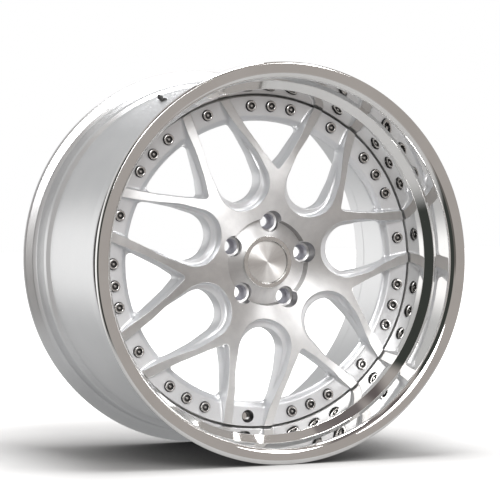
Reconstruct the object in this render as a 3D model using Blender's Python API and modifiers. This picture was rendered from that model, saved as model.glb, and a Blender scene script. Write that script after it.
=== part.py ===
"""Forged three-piece 20 x 11.5J wheel rim: centre disc, outer lip, inner barrel, assembly bolts and cap.

Every piece is modelled around its own local Z axis, which points out of the street side of the wheel.
The parent empty turns that axis onto world -Y, so the rim stands upright with +Z up.
"""

import math

import bmesh
import bpy
from mathutils import Matrix, Vector

MM = 0.001

# Driving dimensions in millimetres. Radii are measured from the wheel's axis.
# Heights are measured along the axis from the middle of the rim, towards the street side.
RIM_RADIUS = 273.5
HALF_WIDTH = 159.0
DISC_RADIUS = 230.0
BORE_RADIUS = 33.3
PAD_BACK = 58.5
PAD_FRONT = 90.6
RING_FLOOR = 63.2
RING_BACK = 51.0
FLANGE_THICKNESS = 6.0
GAP = 0.3
FLANGE_INNER_RADIUS = 204.0
BOLT_CIRCLE = 216.5
WEDGE_BOLT_SPACING = 8.0
BOLT_SHANK_RADIUS = 3.5
BOLT_HOLE_RADIUS = 4.2
BOLT_HEAD_RADIUS = 7.1
BOLT_HEAD_HEIGHT = 4.2
BOLT_SOCKET_RADIUS = 3.2
BOLT_SOCKET_DEPTH = 3.0
BOLT_TIP = 29.5
NUT_ACROSS_FLATS = 11.0
NUT_THICKNESS = 6.5
VALVE_HOLE_RADIUS = 5.7
VALVE_POCKET_RADIUS = 8.9
VALVE_POCKET_DEPTH = 6.5
LUG_COUNT = 5
LUG_CIRCLE = 56.0
WINDOW_PAIRS = 7

# Angles in degrees, counter-clockwise from +X seen from the street side.
VALVE_ANGLE = -94.6
FIRST_LUG_ANGLE = 13.0

WINDOW_PITCH = 360.0 / WINDOW_PAIRS
LUG_PITCH = 360.0 / LUG_COUNT

LIP_FLANGE_FRONT = RING_BACK - GAP
LIP_FLANGE_BACK = LIP_FLANGE_FRONT - FLANGE_THICKNESS
BARREL_FLANGE_FRONT = LIP_FLANGE_BACK - GAP
BARREL_FLANGE_BACK = BARREL_FLANGE_FRONT - FLANGE_THICKNESS
NUT_FRONT = BARREL_FLANGE_BACK - GAP
HEAD_UNDERSIDE = RING_FLOOR + GAP

RIM_STEPS = 56
CAP_STEPS = 32
HOLE_STEPS = 12
SMALL_STEPS = 10
TINY_STEPS = 8
FILLET_STEPS = 6
CUT_OVERRUN = 5.0
CUT_LOW = 30.0
CUT_HIGH = 120.0

# Turned profiles as (radius, height), clockwise with the radius to the right and the height up.
DISC_BODY_PROFILE = [
    (BORE_RADIUS, PAD_FRONT), (36.4, PAD_FRONT), (58.0, 84.6), (64.0, 84.6), (76.0, 86.5),
    (103.0, 92.6), (130.0, 91.5), (150.0, 85.0), (180.0, 70.5), (197.0, 57.5), (203.5, RING_FLOOR),
    (DISC_RADIUS, RING_FLOOR), (DISC_RADIUS, RING_BACK), (200.0, RING_BACK), (150.0, 61.0),
    (105.0, 64.0), (88.0, 63.0), (78.0, 60.0), (76.5, PAD_BACK), (BORE_RADIUS, PAD_BACK),
]
# The raised spokes start below the pad and end just short of the disc's edge.
SPOKE_PROFILE = [
    (57.7, 83.3), (60.3, 94.6), (78.0, 100.0), (100.0, 106.0), (113.0, 107.0), (130.0, 105.5),
    (150.0, 99.0), (180.0, 86.5), (205.0, 74.3), (229.7, 67.0), (229.7, 60.0), (205.0, 58.0),
    (197.0, 55.0), (180.0, 66.0), (150.0, 80.0), (130.0, 86.5), (103.0, 87.6), (76.0, 82.0),
]
LIP_PROFILE = [
    (FLANGE_INNER_RADIUS, LIP_FLANGE_FRONT), (231.2, LIP_FLANGE_FRONT), (232.0, 66.0), (238.4, 100.7),
    (249.0, 109.2), (250.1, 111.0), (251.5, 148.0), (253.6, 153.0), (259.0, 157.4),
    (263.5, HALF_WIDTH), (269.0, HALF_WIDTH), (272.2, 157.7), (RIM_RADIUS, 154.5),
    (RIM_RADIUS, 152.8), (271.0, 150.4), (261.5, 148.4), (257.6, 145.0), (255.4, 127.0),
    (256.9, 122.0), (255.0, 108.0), (244.2, 99.5), (238.2, 64.0), (237.6, 48.4),
    (233.9, LIP_FLANGE_BACK), (FLANGE_INNER_RADIUS, LIP_FLANGE_BACK),
]
BARREL_PROFILE = [
    (FLANGE_INNER_RADIUS, BARREL_FLANGE_FRONT), (233.9, BARREL_FLANGE_FRONT), (237.7, 40.6),
    (238.0, 20.0), (249.2, -104.0), (254.6, -110.0), (256.6, -114.5), (254.8, -119.0),
    (257.2, -145.0), (261.5, -150.0), (271.4, -153.4), (RIM_RADIUS, -155.4), (RIM_RADIUS, -157.6),
    (271.6, -HALF_WIDTH), (264.0, -HALF_WIDTH), (256.4, -156.6), (252.2, -150.0), (249.6, -119.0),
    (245.0, -106.0), (232.6, 22.0), (231.4, 34.0), (227.4, BARREL_FLANGE_BACK),
    (FLANGE_INNER_RADIUS, BARREL_FLANGE_BACK),
]
CAP_RING_PROFILE = [
    (29.8, 92.7), (30.4, 93.3), (35.3, 93.3), (35.9, 92.7), (35.9, 90.9), (32.9, 90.9), (32.9, 78.0),
    (30.0, 78.0), (30.0, 85.5), (26.0, 85.5), (26.0, 87.7), (29.8, 87.7),
]
CAP_INSERT_PROFILE = [(0.0, 91.8), (28.9, 91.8), (29.4, 91.3), (29.4, 88.0), (0.0, 88.0)]
SEAL_CENTRE = (236.3, LIP_FLANGE_BACK - GAP / 2)
SEAL_SECTION_RADIUS = 1.5
SEAL_SIDES = 6

LUG_POCKET_PROFILE = [
    (0.0, CUT_HIGH), (17.4, CUT_HIGH), (13.4, 80.5), (10.8, 79.2), (10.8, 65.5),
    (7.5, 62.5), (7.5, PAD_BACK - CUT_OVERRUN), (0.0, PAD_BACK - CUT_OVERRUN),
]

# Window outlines as (distance out from the axis, half width, corner radius) along one side.
SPOKE_ARCH = [
    (77.8, 41.6, 39.6), (150.0, 38.6, 0.0), (180.0, 31.6, 0.0), (205.0, 27.2, 0.0), (236.0, 24.4, 0.0),
]
SPOKE_WEDGE = [
    (126.0, 0.0, 5.0), (150.0, 19.5, 0.0), (180.0, 41.0, 0.0), (205.0, 56.0, 0.0), (236.0, 75.0, 0.0),
]
THROUGH_ARCH = [
    (90.5, 33.0, 32.0), (150.0, 33.0, 0.0), (180.0, 30.0, 0.0), (194.2, 26.6, 6.0), (196.0, 0.0, 0.0),
]
THROUGH_WEDGE = [
    (130.6, 0.0, 5.0), (150.0, 16.5, 0.0), (180.0, 38.0, 0.0), (190.7, 44.6, 6.0), (194.8, 22.0, 0.0),
    (196.0, 0.0, 0.0),
]


def clear_scene():
    for item in list(bpy.data.objects):
        bpy.data.objects.remove(item, do_unlink=True)


def new_collection(name):
    group = bpy.data.collections.new(name)
    bpy.context.scene.collection.children.link(group)
    return group


def new_material(name, colour, metallic, roughness):
    made = bpy.data.materials.new(name)
    made.use_nodes = True
    shader = made.node_tree.nodes["Principled BSDF"]
    shader.inputs["Base Color"].default_value = (*colour, 1.0)
    shader.inputs["Metallic"].default_value = metallic
    shader.inputs["Roughness"].default_value = roughness
    return made


def place_of(angle, radius):
    return radius * math.cos(math.radians(angle)), radius * math.sin(math.radians(angle))


def circle(radius, sides, centre=(0.0, 0.0)):
    turns = [math.tau * (index + 0.5) / sides for index in range(sides)]
    return [(centre[0] + radius * math.cos(turn), centre[1] + radius * math.sin(turn)) for turn in turns]


def rounded(corners):
    """Round each corner of a closed outline; corners are (u, v, radius), and a radius of 0 stays sharp."""
    outline = []
    for index, (u, v, radius) in enumerate(corners):
        corner = Vector((u, v))
        if radius == 0.0:
            outline.append(corner)
            continue
        before = (Vector(corners[index - 1][:2]) - corner).normalized()
        after = (Vector(corners[(index + 1) % len(corners)][:2]) - corner).normalized()
        half = before.angle(after) / 2
        centre = corner + (before + after).normalized() * radius / math.sin(half)
        first = corner + before * radius / math.tan(half) - centre
        last = corner + after * radius / math.tan(half) - centre
        start = math.atan2(first.y, first.x)
        sweep = math.remainder(math.atan2(last.y, last.x) - start, math.tau)
        for step in range(FILLET_STEPS + 1):
            angle = start + sweep * step / FILLET_STEPS
            outline.append(centre + radius * Vector((math.cos(angle), math.sin(angle))))
    return outline


def both_sides(half):
    """Close a half outline by its mirror image, leaving out points that lie on the middle line twice."""
    mirrored = [(u, -v, radius) for u, v, radius in reversed(half) if v != 0.0]
    return rounded(half + mirrored)


def turned_about(outline, angle):
    cosine = math.cos(math.radians(angle))
    sine = math.sin(math.radians(angle))
    return [(u * cosine - v * sine, u * sine + v * cosine) for u, v in outline]


def windows(arch, wedge):
    """Seven arches on the valve hole's spacing, with a wedge halfway between each two."""
    outlines = []
    for index in range(WINDOW_PAIRS):
        angle = VALVE_ANGLE + WINDOW_PITCH * index
        outlines.append(turned_about(both_sides(arch), angle))
        outlines.append(turned_about(both_sides(wedge), angle + WINDOW_PITCH / 2))
    return outlines


def add_object(name, data, group, parent):
    made = bpy.data.objects.new(name, data)
    group.objects.link(made)
    made.parent = parent
    return made


def screw_object(name, profile, steps, group, parent):
    """A turned solid: the profile's loop, swept once round the local Z axis."""
    mesh = bpy.data.meshes.new(name)
    points = [(radius * MM, 0.0, height * MM) for radius, height in profile]
    open_ended = profile[0][0] == 0.0
    edges = [(index, index + 1) for index in range(len(points) - 1)]
    if not open_ended:
        edges.append((len(points) - 1, 0))
    mesh.from_pydata(points, edges, [])
    made = add_object(name, mesh, group, parent)
    sweep = made.modifiers.new("Turned", "SCREW")
    sweep.axis = "Z"
    sweep.steps = steps
    sweep.render_steps = steps
    sweep.use_merge_vertices = True
    sweep.merge_threshold = 0.00001
    return made


def outline_object(name, outlines, low, high, group, parent):
    """Flat outlines extruded between two heights."""
    data = bpy.data.curves.new(name, "CURVE")
    data.dimensions = "2D"
    data.fill_mode = "BOTH"
    data.extrude = (high - low) / 2 * MM
    for outline in outlines:
        spline = data.splines.new("POLY")
        spline.points.add(len(outline) - 1)
        for point, (x, y) in zip(spline.points, outline):
            point.co = (x * MM, y * MM, 0.0, 1.0)
        spline.use_cyclic_u = True
    made = add_object(name, data, group, parent)
    made.location.z = (low + high) / 2 * MM
    return made


def solid_from(source, name, group, places):
    """Copy an object's finished shape to each place as one mesh, and remove the source."""
    finished = source.evaluated_get(bpy.context.evaluated_depsgraph_get())
    shape = bpy.data.meshes.new_from_object(finished)
    cage = bmesh.new()
    for place in places:
        piece = shape.copy()
        piece.transform(place @ source.matrix_basis)
        cage.from_mesh(piece)
        bpy.data.meshes.remove(piece)
    bmesh.ops.remove_doubles(cage, verts=cage.verts, dist=0.000001)
    mesh = bpy.data.meshes.new(name)
    cage.to_mesh(mesh)
    cage.free()
    made = add_object(name, mesh, group, source.parent)
    bpy.data.objects.remove(source, do_unlink=True)
    return made


def as_cutter(item):
    item.hide_render = True
    item.display_type = "WIRE"
    return item


def hole_cutter(name, profile, steps, places, group, parent):
    single = screw_object(name + "_single", profile, steps, group, parent)
    shifts = [Matrix.Translation((x * MM, y * MM, 0.0)) for x, y in places]
    return as_cutter(solid_from(single, name, group, shifts))


def window_cutter(name, outlines, low, high, group, parent):
    flat = outline_object(name + "_flat", outlines, low, high, group, parent)
    return as_cutter(solid_from(flat, name, group, [Matrix.Identity(4)]))


def combine(item, other, operation):
    step = item.modifiers.new(other.name, "BOOLEAN")
    step.operation = operation
    step.solver = "EXACT"
    step.object = other


def finish(item, material):
    """Smooth shading that still keeps the large flat faces flat, and the material."""
    item.modifiers.new("Flat faces lead", "WEIGHTED_NORMAL")
    item.data.materials.append(material)


def plain_hole(radius, low, high):
    return [(0.0, high), (radius, high), (radius, low), (0.0, low)]


def bolt_profile():
    top = HEAD_UNDERSIDE + BOLT_HEAD_HEIGHT
    socket_floor = top - BOLT_SOCKET_DEPTH
    return [
        (0.0, socket_floor), (BOLT_SOCKET_RADIUS, socket_floor), (BOLT_SOCKET_RADIUS, top),
        (BOLT_HEAD_RADIUS, top), (BOLT_HEAD_RADIUS, HEAD_UNDERSIDE), (BOLT_SHANK_RADIUS, HEAD_UNDERSIDE),
        (BOLT_SHANK_RADIUS, BOLT_TIP), (0.0, BOLT_TIP),
    ]


def valve_profile():
    pocket_floor = RING_FLOOR - VALVE_POCKET_DEPTH
    low = BARREL_FLANGE_BACK - CUT_OVERRUN
    high = RING_FLOOR + CUT_OVERRUN
    return [
        (0.0, high), (VALVE_POCKET_RADIUS, high), (VALVE_POCKET_RADIUS, pocket_floor),
        (VALVE_HOLE_RADIUS, pocket_floor), (VALVE_HOLE_RADIUS, low), (0.0, low),
    ]


clear_scene()
parts = new_collection("forged_wheel_rim")
cutters = new_collection("cutters")
axis = bpy.data.objects.new("wheel_axis", None)
axis.rotation_euler.x = math.radians(90.0)
parts.objects.link(axis)

brushed = new_material("brushed_forged_aluminium", (0.62, 0.62, 0.63), 1.0, 0.32)
polished = new_material("polished_lip_aluminium", (0.80, 0.80, 0.80), 1.0, 0.06)
silver = new_material("silver_barrel_paint", (0.60, 0.61, 0.62), 0.6, 0.35)
steel = new_material("plated_bolt_steel", (0.55, 0.54, 0.52), 1.0, 0.25)
cap_metal = new_material("polished_cap_aluminium", (0.78, 0.77, 0.75), 1.0, 0.18)
rubber = new_material("seal_rubber", (0.03, 0.03, 0.03), 0.0, 0.7)

valve_place = place_of(VALVE_ANGLE, BOLT_CIRCLE)
bolt_places = []
for pair in range(WINDOW_PAIRS):
    arch_angle = VALVE_ANGLE + WINDOW_PITCH * pair
    wedge_angle = arch_angle + WINDOW_PITCH / 2
    if pair > 0:
        bolt_places.append(place_of(arch_angle, BOLT_CIRCLE))
    for offset in (-WEDGE_BOLT_SPACING, 0.0, WEDGE_BOLT_SPACING):
        bolt_places.append(place_of(wedge_angle + offset, BOLT_CIRCLE))
lug_places = [place_of(FIRST_LUG_ANGLE + LUG_PITCH * index, LUG_CIRCLE) for index in range(LUG_COUNT)]

bolt_holes = hole_cutter(
    "bolt_holes", plain_hole(BOLT_HOLE_RADIUS, NUT_FRONT - CUT_OVERRUN, RING_FLOOR + CUT_OVERRUN),
    TINY_STEPS, bolt_places, cutters, axis)
valve_hole = hole_cutter("valve_hole", valve_profile(), HOLE_STEPS, [valve_place], cutters, axis)
lug_holes = hole_cutter("lug_holes", LUG_POCKET_PROFILE, HOLE_STEPS, lug_places, cutters, axis)
spoke_gaps = window_cutter(
    "spoke_gaps", windows(SPOKE_ARCH, SPOKE_WEDGE), CUT_LOW, CUT_HIGH, cutters, axis)
through_windows = window_cutter(
    "through_windows", windows(THROUGH_ARCH, THROUGH_WEDGE), CUT_LOW, CUT_HIGH, cutters, axis)

spokes = as_cutter(screw_object("spokes", SPOKE_PROFILE, RIM_STEPS, cutters, axis))
combine(spokes, spoke_gaps, "DIFFERENCE")
disc = screw_object("centre_disc", DISC_BODY_PROFILE, RIM_STEPS, parts, axis)
combine(disc, spokes, "UNION")
combine(disc, through_windows, "DIFFERENCE")
combine(disc, lug_holes, "DIFFERENCE")
combine(disc, bolt_holes, "DIFFERENCE")
combine(disc, valve_hole, "DIFFERENCE")
finish(disc, brushed)

lip = screw_object("outer_lip", LIP_PROFILE, RIM_STEPS, parts, axis)
barrel = screw_object("inner_barrel", BARREL_PROFILE, RIM_STEPS, parts, axis)
for rim_half, material in ((lip, polished), (barrel, silver)):
    combine(rim_half, bolt_holes, "DIFFERENCE")
    combine(rim_half, valve_hole, "DIFFERENCE")
    finish(rim_half, material)

seal_profile = circle(SEAL_SECTION_RADIUS, SEAL_SIDES, SEAL_CENTRE)
seal = screw_object("rim_seal_ring", list(reversed(seal_profile)), RIM_STEPS, parts, axis)
finish(seal, rubber)

cap_ring = screw_object("centre_cap_ring", CAP_RING_PROFILE, CAP_STEPS, parts, axis)
finish(cap_ring, cap_metal)
cap_insert = screw_object("centre_cap_insert", CAP_INSERT_PROFILE, CAP_STEPS, parts, axis)
finish(cap_insert, brushed)

nut_outlines = [circle(NUT_ACROSS_FLATS / math.sqrt(3.0), 6), circle(BOLT_HOLE_RADIUS, TINY_STEPS)]
for number, (x, y) in enumerate(bolt_places, start=1):
    bolt = screw_object(f"assembly_bolt_{number:02d}", bolt_profile(), SMALL_STEPS, parts, axis)
    bolt.location.x = x * MM
    bolt.location.y = y * MM
    finish(bolt, steel)
    nut = outline_object(
        f"assembly_nut_{number:02d}", nut_outlines, NUT_FRONT - NUT_THICKNESS, NUT_FRONT, parts, axis)
    nut.location.x = x * MM
    nut.location.y = y * MM
    nut.data.materials.append(steel)
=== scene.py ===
"""Forged three-piece wheel rim: the finished look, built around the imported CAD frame.

Round pieces are made around a local Z axis that points out of the street side, in millimetres.
finished_mesh scales them to metres, and WHEEL turns that axis onto world -Y.
"""

import math

import bmesh
import bpy
import numpy as np
from mathutils import Matrix, Vector
from mathutils.geometry import delaunay_2d_cdt


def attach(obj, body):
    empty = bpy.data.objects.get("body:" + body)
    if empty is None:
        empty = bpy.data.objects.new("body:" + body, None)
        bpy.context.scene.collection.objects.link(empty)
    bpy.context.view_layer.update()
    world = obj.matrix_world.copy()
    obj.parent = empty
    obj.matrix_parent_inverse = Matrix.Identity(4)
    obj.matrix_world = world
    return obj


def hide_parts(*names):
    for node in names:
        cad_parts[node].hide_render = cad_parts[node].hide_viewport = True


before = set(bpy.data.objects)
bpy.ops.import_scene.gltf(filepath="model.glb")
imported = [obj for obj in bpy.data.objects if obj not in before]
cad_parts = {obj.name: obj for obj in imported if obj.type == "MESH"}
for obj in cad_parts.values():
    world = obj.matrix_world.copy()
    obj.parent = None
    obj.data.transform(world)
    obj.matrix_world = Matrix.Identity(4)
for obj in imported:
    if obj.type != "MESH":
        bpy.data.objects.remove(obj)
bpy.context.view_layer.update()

MM = 0.001
WHEEL = Matrix.Rotation(math.radians(90.0), 4, "X")

# The CAD model's own layout, repeated here because its file isn't read.
# Radii are measured from the wheel's axis, and heights along it from the middle of the rim.
RIM_RADIUS = 273.5
HALF_WIDTH = 159.0
DISC_RADIUS = 230.0
BORE_RADIUS = 33.3
PAD_FRONT = 90.6
PAD_BACK = 58.5
RING_FLOOR = 63.2
RING_BACK = 51.0
FLANGE_INNER_RADIUS = 204.0
LIP_FLANGE_FRONT = 50.7
LIP_FLANGE_BACK = 44.7
BARREL_FLANGE_FRONT = 44.4
BARREL_FLANGE_BACK = 38.4
BOLT_CIRCLE = 216.5
WEDGE_BOLT_SPACING = 8.0
LUG_COUNT = 5
LUG_CIRCLE = 56.0
WINDOW_PAIRS = 7
VALVE_ANGLE = -94.6
FIRST_LUG_ANGLE = 13.0
WINDOW_PITCH = 360.0 / WINDOW_PAIRS
LUG_PITCH = 360.0 / LUG_COUNT

# Disc surfaces as (radius, height), out to a little past the disc's edge.
PROFILE_START = 20.0
PROFILE_END = 250.0
PROFILE_STEP = 0.25
SPOKE_TOP = [
    (50.0, 91.0), (60.3, 94.6), (78.0, 100.0), (100.0, 106.0), (113.0, 107.0), (130.0, 105.3),
    (150.0, 99.0), (180.0, 86.5), (205.0, 74.3), (230.0, 67.0), (PROFILE_END, 61.0),
]
POCKET_FLOOR = [
    (50.0, 86.5), (76.0, 87.0), (103.0, 92.6), (130.0, 91.5), (150.0, 85.0), (180.0, 70.5), (197.0, 57.5),
    (203.5, RING_FLOOR), (PROFILE_END, RING_FLOOR),
]
DISC_BACK = [
    (PROFILE_START, PAD_BACK), (76.5, PAD_BACK), (78.0, 60.0), (88.0, 63.0), (105.0, 64.0), (150.0, 61.0),
    (200.0, RING_BACK), (PROFILE_END, RING_BACK),
]
HUB_PAD = [(PROFILE_START, PAD_FRONT), (36.4, PAD_FRONT), (45.0, 88.6), (58.0, 84.6), (64.0, 84.6)]
PAD_EDGE = 58.0
STEP_EDGE = 60.3
RING_EDGE = 203.5
RING_CREASE = 1.2
CRISP_FLOOR_START = 185.0
CRISP_FLOOR_BLEND = 8.0

# Window outlines: (distance out, half width, corner radius) along one side. The face outlines bound the
# machined face, and the open outlines bound the hole through the disc.
FACE_ARCH = [
    (77.8, 41.6, 39.6), (150.0, 38.6, 90.0), (180.0, 31.6, 70.0), (205.0, 27.2, 60.0), (255.0, 21.4, 0.0),
]
FACE_WEDGE = [
    (126.0, 0.0, 5.0), (150.0, 19.5, 60.0), (180.0, 41.0, 60.0), (205.0, 56.0, 60.0), (255.0, 87.0, 0.0),
]
OPEN_ARCH = [(90.5, 33.0, 32.0), (150.0, 33.0, 120.0), (180.0, 30.0, 40.0), (194.2, 26.8, 6.0)]
OPEN_WEDGE = [(130.6, 0.0, 5.0), (150.0, 16.5, 60.0), (180.0, 38.0, 30.0), (190.7, 45.2, 6.0)]
OPEN_END = 196.0
OPEN_ARCH_END_WIDTHS = [16.0, 8.0, 0.0]
OPEN_WEDGE_END_WIDTHS = [30.0, 15.0, 0.0]
OUTLINE_STEP = 2.0
WINDOW_SEEDS = {"arch": 0.0, "wedge": 0.5}

# Edge breaks, drafts and fillets.
EDGE_BREAK = 0.45
WALL_DRAFT = 0.11
FLOOR_FILLET = 4.2
FLOOR_FILLET_SHARE = 0.62
FILLET_SHARES = (0.0, 0.05, 0.19, 0.42, 0.7, 1.0)
OPEN_ROUND = 1.3
OPEN_ROUND_STEPS = (0.0, -0.2, -0.6, -OPEN_ROUND)
BACK_ROUND = 0.8
OUTER_CHAMFER = 0.7
BORE_CHAMFER = 1.0
BOLT_CHAMFER = 0.35
VALVE_CHAMFER = 0.45

# Lug pockets, bolt holes and the valve hole.
LUG_WALL_DRAFT = 0.1
LUG_REACH = 15.4
LUG_POCKET_FLOOR = 80.5
LUG_FLOOR_EDGE = 13.5
LUG_BORE = 10.8
LUG_BORE_TOP = 79.2
LUG_BORE_END = 65.5
LUG_SEAT_END = 62.5
LUG_HOLE = 7.5
BOLT_BORE = 7.85
BOLT_SEAT = 62.0
BOLT_HOLE = 4.2
VALVE_BORE = 8.9
VALVE_SEAT = 56.7
VALVE_HOLE = 5.7

# How finely the disc is divided.
EDGE_SIDES = 560
RING_SIDES = 480
PAD_SIDES = 240
BORE_SIDES = 96
LUG_SIDES = 48
BOLT_SIDES = 32
VALVE_SIDES = 40
SPREAD_STEP = 2.9
SPREAD_START = 36.5
SPREAD_END = 229.0
STAGGER = 0.618

# The disc's material slots.
MACHINED_SLOT = 0
PAINT_SLOT = 1
BORE_SLOT = 2
# Painted shade: the lug pockets and the pad's step take a darker metal.
POCKET_SHADE_SLOT = 3
# Painted shade: the bolt and valve hole walls take a near-black metal.
RECESS_SHADE_SLOT = 4


def place_of(angle, radius):
    return Vector((radius * math.cos(math.radians(angle)), radius * math.sin(math.radians(angle))))


def bolt_places():
    """Three bolts at each wedge window and one at each arch window, but for the arch at the valve."""
    places = []
    for pair in range(WINDOW_PAIRS):
        arch = VALVE_ANGLE + WINDOW_PITCH * pair
        if pair > 0:
            places.append(place_of(arch, BOLT_CIRCLE))
        for turn in (-WEDGE_BOLT_SPACING, 0.0, WEDGE_BOLT_SPACING):
            places.append(place_of(arch + WINDOW_PITCH / 2 + turn, BOLT_CIRCLE))
    return places


BOLT_PLACES = bolt_places()
VALVE_PLACE = place_of(VALVE_ANGLE, BOLT_CIRCLE)
LUG_PLACES = [place_of(FIRST_LUG_ANGLE + LUG_PITCH * index, LUG_CIRCLE) for index in range(LUG_COUNT)]


# ---------------------------------------------------------------- outlines

def rounded(corners, step):
    """Round each corner of a closed outline given as (u, v, radius)."""
    outline = []
    for index, (u, v, radius) in enumerate(corners):
        corner = Vector((u, v))
        if radius == 0.0:
            outline.append(corner)
            continue
        before = (Vector(corners[index - 1][:2]) - corner).normalized()
        after = (Vector(corners[(index + 1) % len(corners)][:2]) - corner).normalized()
        half = before.angle(after) / 2
        centre = corner + (before + after).normalized() * radius / math.sin(half)
        first = corner + before * radius / math.tan(half) - centre
        last = corner + after * radius / math.tan(half) - centre
        start = math.atan2(first.y, first.x)
        sweep = math.remainder(math.atan2(last.y, last.x) - start, math.tau)
        count = max(3, math.ceil(abs(sweep) * radius / step), math.ceil(abs(sweep) / 0.35))
        for part in range(count + 1):
            angle = start + sweep * part / count
            outline.append(centre + radius * Vector((math.cos(angle), math.sin(angle))))
    return outline


def resampled(outline, step):
    points = []
    for index, point in enumerate(outline):
        after = outline[(index + 1) % len(outline)]
        count = max(1, round((after - point).length / step))
        points.extend(point.lerp(after, part / count) for part in range(count))
    return points


def whole_outline(side, end_widths):
    """Close one side of a window's outline with its mirror image, past an end that follows OPEN_END."""
    end = [(math.sqrt(OPEN_END ** 2 - v ** 2), v, 0.0) for v in end_widths]
    half = side + end
    mirrored = [(u, -v, radius) for u, v, radius in reversed(half) if v != 0.0]
    return np.array([tuple(p) for p in resampled(rounded(half + mirrored, OUTLINE_STEP), OUTLINE_STEP)])


def winding(points):
    """1 for an outline that runs counter-clockwise, and -1 for a clockwise one."""
    after = np.roll(points, -1, axis=0)
    area = np.sum(points[:, 0] * after[:, 1] - points[:, 1] * after[:, 0])
    return 1.0 if area > 0.0 else -1.0


def inward_normals(points):
    """The unit normal into the window at each point of its outline."""
    along = np.roll(points, -1, axis=0) - np.roll(points, 1, axis=0)
    along /= np.linalg.norm(along, axis=1)[:, None]
    return np.stack([-along[:, 1], along[:, 0]], axis=1) * winding(points)


def smooth_profile(points, blur):
    """A profile sampled at a fine step, with its corners blurred over a distance."""
    radii = np.arange(PROFILE_START, PROFILE_END, PROFILE_STEP)
    heights = np.interp(radii, [p[0] for p in points], [p[1] for p in points])
    reach = int(4 * blur / PROFILE_STEP)
    offsets = np.arange(-reach, reach + 1) * PROFILE_STEP
    weights = np.exp(-0.5 * (offsets / blur) ** 2)
    padded = np.concatenate([
        heights[0] + (heights[1] - heights[0]) * np.arange(-reach, 0), heights,
        heights[-1] + (heights[-1] - heights[-2]) * np.arange(1, reach + 1)])
    return radii, np.convolve(padded, weights / weights.sum(), mode="valid")


TOP_CURVE = smooth_profile(SPOKE_TOP, 5.0)
WIDE_FLOOR = smooth_profile(POCKET_FLOOR, 4.0)
CRISP_FLOOR = smooth_profile(POCKET_FLOOR, 0.9)
BACK_CURVE = smooth_profile(DISC_BACK, 1.0)


def top_height(radius):
    """The machined face: the hub's pad, a step up at its edge, then the spokes."""
    raised = np.interp(radius, *TOP_CURVE)
    edge = np.interp(STEP_EDGE, *TOP_CURVE)
    pad = np.interp(radius, [p[0] for p in HUB_PAD], [p[1] for p in HUB_PAD])
    share = np.clip((radius - PAD_EDGE) / (STEP_EDGE - PAD_EDGE), 0.0, 1.0)
    return np.where(radius > STEP_EDGE, raised, pad + (edge - pad) * share)


def floor_height(radius):
    """The painted floor between the spokes, blurred widely inside and crisp at the bolt ring."""
    share = np.clip((radius - CRISP_FLOOR_START) / CRISP_FLOOR_BLEND, 0.0, 1.0)
    return np.interp(radius, *WIDE_FLOOR) * (1.0 - share) + np.interp(radius, *CRISP_FLOOR) * share


def back_height(radius):
    return np.interp(radius, *BACK_CURVE)


def wall_shape(radius):
    """How far in the steep wall ends, and the fillet's radius at its foot."""
    depth = top_height(radius) - EDGE_BREAK - floor_height(radius)
    fillet = np.minimum(FLOOR_FILLET, FLOOR_FILLET_SHARE * depth)
    return EDGE_BREAK + WALL_DRAFT * (depth - fillet), fillet


# ---------------------------------------------------------------- the disc's surface

OUTLINES = {
    "face": {"arch": whole_outline(FACE_ARCH, []), "wedge": whole_outline(FACE_WEDGE, [])},
    "open": {
        "arch": whole_outline(OPEN_ARCH, OPEN_ARCH_END_WIDTHS),
        "wedge": whole_outline(OPEN_WEDGE, OPEN_WEDGE_END_WIDTHS),
    },
}


def depth_inside(u, v, points):
    """Signed distance in from an outline, for places folded onto the side where v is positive."""
    ends = np.roll(points, -1, axis=0)
    fold_margin = -3.0
    near = (points[:, 1] > fold_margin) | (ends[:, 1] > fold_margin)
    starts = points[near]
    run = ends[near] - starts
    length2 = np.maximum((run ** 2).sum(axis=1), 1e-12)
    side = winding(points)
    result = np.empty(len(u))
    batch = 4000
    for low in range(0, len(u), batch):
        pu = u[low:low + batch, None] - starts[None, :, 0]
        pv = v[low:low + batch, None] - starts[None, :, 1]
        share = np.clip((pu * run[:, 0] + pv * run[:, 1]) / length2, 0.0, 1.0)
        gap2 = (pu - share * run[:, 0]) ** 2 + (pv - share * run[:, 1]) ** 2
        nearest = gap2.argmin(axis=1)
        rows = np.arange(len(nearest))
        cross = run[nearest, 0] * pv[rows, nearest] - run[nearest, 1] * pu[rows, nearest]
        result[low:low + batch] = np.sqrt(gap2[rows, nearest]) * np.where(cross * side > 0.0, 1.0, -1.0)
    return result


def window_depths(points, kind):
    """How far each point lies inside the nearest arch or wedge outline of a kind (face or open)."""
    radius = np.hypot(points[:, 0], points[:, 1])
    angle = np.arctan2(points[:, 1], points[:, 0]) - math.radians(VALVE_ANGLE)
    pitch = math.radians(WINDOW_PITCH)
    depths = []
    for shape, seed in WINDOW_SEEDS.items():
        folded = angle - pitch * (np.round(angle / pitch - seed) + seed)
        u = radius * np.cos(folded)
        v = np.abs(radius * np.sin(folded))
        depths.append(depth_inside(u, v, OUTLINES[kind][shape]))
    return np.maximum(depths[0], depths[1])


def nearest_gap(points, places):
    centres = np.array([tuple(p) for p in places])
    across = points[:, None, 0] - centres[None, :, 0]
    up = points[:, None, 1] - centres[None, :, 1]
    return np.hypot(across, up).min(axis=1)


def edge_rounding(gap, size):
    """How far a rounded edge has dropped at a distance back from it."""
    inward = np.clip(size - gap, 0.0, size)
    return size - np.sqrt(size ** 2 - inward ** 2)


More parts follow.
